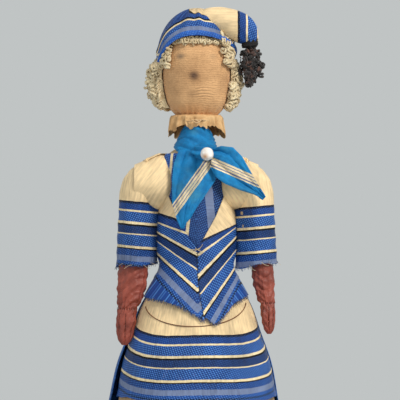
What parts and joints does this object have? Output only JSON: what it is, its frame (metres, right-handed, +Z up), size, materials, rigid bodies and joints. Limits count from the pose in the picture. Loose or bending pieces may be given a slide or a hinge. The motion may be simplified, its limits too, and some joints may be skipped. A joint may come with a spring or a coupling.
{
  "type": "cloth costume doll",
  "caption": "Standing stuffed cloth doll with a blank cloth head, wool curls, ribbon cap with tassel, striped silk dress, neck scarf with bead pin, and leather gloves",
  "frame": {"origin": "on the floor, under the middle of the petticoat's hem", "axes": "+Z up, the doll faces -Y, +X is the doll's left"},
  "size_m": [0.1096, 0.1036, 0.3557],
  "materials": {
    "striped_silk": "blue figured ribbon silk with cream, black-edged and grey stripes",
    "figured_silk": "dark blue figured silk",
    "scarf_silk": "turquoise silk with cream stripes at the ends",
    "linen": "unbleached plain weave",
    "lining_cotton": "stiffened off-white cotton",
    "head_cloth": "flesh-tan knitted cloth with a worn brown spot",
    "lambswool": "matt pale blond curls",
    "black_wool": "black-brown curled wool",
    "glove_leather": "wrinkled red-brown kid leather",
    "boot_leather": "plain black-brown leather",
    "pearl": "pearl-coated glass bead",
    "steel": "plain pin wire",
    "stuffing": "packed sawdust and waste cotton"
  },
  "bodies": {
    "torso": {"torso_cover": "linen", "torso_stuffing": "stuffing", "bodice_front_left": "striped_silk", "bodice_front_right": "striped_silk", "bodice_back": "striped_silk", "vest_front": "figured_silk", "waistband": "striped_silk", "petticoat": "lining_cotton", "underskirt_yoke": "lining_cotton", "underskirt_tier_1_front": "striped_silk", "underskirt_tier_1_back": "striped_silk", "underskirt_tier_2_front": "striped_silk", "underskirt_tier_2_back": "striped_silk", "underskirt_tier_3_front": "striped_silk", "underskirt_tier_3_back": "striped_silk", "overskirt_front": "striped_silk", "back_drape": "striped_silk", "scarf_band": "scarf_silk", "scarf_knot": "scarf_silk", "scarf_end_left": "scarf_silk", "scarf_end_right": "scarf_silk", "pearl_bead": "pearl", "bead_pin": "steel"},
    "neck": {"neck_roll": "head_cloth", "neck_string": "linen", "neck_frill": "head_cloth"},
    "head": {"head_cover": "head_cloth", "head_stuffing": "stuffing", "hair_left": "lambswool", "hair_right": "lambswool", "hair_back": "lambswool", "hair_fringe": "lambswool", "cap_band": "striped_silk", "cap_bag": "striped_silk", "cap_knot": "black_wool"},
    "tassel_hang": {"tassel": "black_wool"},
    "shoulder_tab_left": {"shoulder_tape_left": "linen"},
    "shoulder_tab_right": {"shoulder_tape_right": "linen"},
    "upper_arm_left": {"sleeve_left": "striped_silk", "upper_arm_cover_left": "linen", "upper_arm_stuffing_left": "stuffing"},
    "upper_arm_right": {"sleeve_right": "striped_silk", "upper_arm_cover_right": "linen", "upper_arm_stuffing_right": "stuffing"},
    "forearm_left": {"glove_left": "glove_leather", "forearm_stuffing_left": "stuffing"},
    "forearm_right": {"glove_right": "glove_leather", "forearm_stuffing_right": "stuffing"},
    "thigh_left": {"thigh_cover_left": "linen", "thigh_stuffing_left": "stuffing"},
    "thigh_right": {"thigh_cover_right": "linen", "thigh_stuffing_right": "stuffing"},
    "shin_left": {"stocking_left": "linen", "shin_stuffing_left": "stuffing", "boot_left": "boot_leather"},
    "shin_right": {"stocking_right": "linen", "shin_stuffing_right": "stuffing", "boot_right": "boot_leather"}
  },
  "joints": [
    {"name": "neck_nod", "type": "hinge", "parent": "torso", "child": "neck", "pos_m": [0, 0, 0.284], "axis": [1, 0, 0], "range_deg": [-8, 8]},
    {"name": "head_turn", "type": "hinge", "parent": "neck", "child": "head", "pos_m": [0, 0, 0.3005], "axis": [0, 0, 1], "range_deg": [-40, 40]},
    {"name": "tassel_swing", "type": "hinge", "parent": "head", "child": "tassel_hang", "pos_m": [0.027, -0.004, 0.3332], "axis": [1, 0, 0], "range_deg": [-30, 30]},
    {"name": "arm_lift_left", "type": "hinge", "parent": "torso", "child": "shoulder_tab_left", "pos_m": [0.0275, 0, 0.266], "axis": [0, -1, 0], "range_deg": [0, 70]},
    {"name": "arm_lift_right", "type": "hinge", "parent": "torso", "child": "shoulder_tab_right", "pos_m": [-0.0275, 0, 0.266], "axis": [0, 1, 0], "range_deg": [0, 70]},
    {"name": "arm_swing_left", "type": "hinge", "parent": "shoulder_tab_left", "child": "upper_arm_left", "pos_m": [0.0275, 0, 0.266], "axis": [-1, 0, 0], "range_deg": [-40, 90]},
    {"name": "arm_swing_right", "type": "hinge", "parent": "shoulder_tab_right", "child": "upper_arm_right", "pos_m": [-0.0275, 0, 0.266], "axis": [-1, 0, 0], "range_deg": [-40, 90]},
    {"name": "elbow_left", "type": "hinge", "parent": "upper_arm_left", "child": "forearm_left", "pos_m": [0.0302, 0, 0.222], "axis": [-1, 0, 0], "range_deg": [0, 40]},
    {"name": "elbow_right", "type": "hinge", "parent": "upper_arm_right", "child": "forearm_right", "pos_m": [-0.0302, 0, 0.222], "axis": [-1, 0, 0], "range_deg": [0, 40]},
    {"name": "hip_left", "type": "hinge", "parent": "torso", "child": "thigh_left", "pos_m": [0.0112, 0, 0.166], "axis": [-1, 0, 0], "range_deg": [-8, 8]},
    {"name": "hip_right", "type": "hinge", "parent": "torso", "child": "thigh_right", "pos_m": [-0.0112, 0, 0.166], "axis": [-1, 0, 0], "range_deg": [-8, 8]},
    {"name": "knee_left", "type": "hinge", "parent": "thigh_left", "child": "shin_left", "pos_m": [0.0112, 0, 0.086], "axis": [1, 0, 0], "range_deg": [0, 8]},
    {"name": "knee_right", "type": "hinge", "parent": "thigh_right", "child": "shin_right", "pos_m": [-0.0112, 0, 0.086], "axis": [1, 0, 0], "range_deg": [0, 8]}
  ]
}
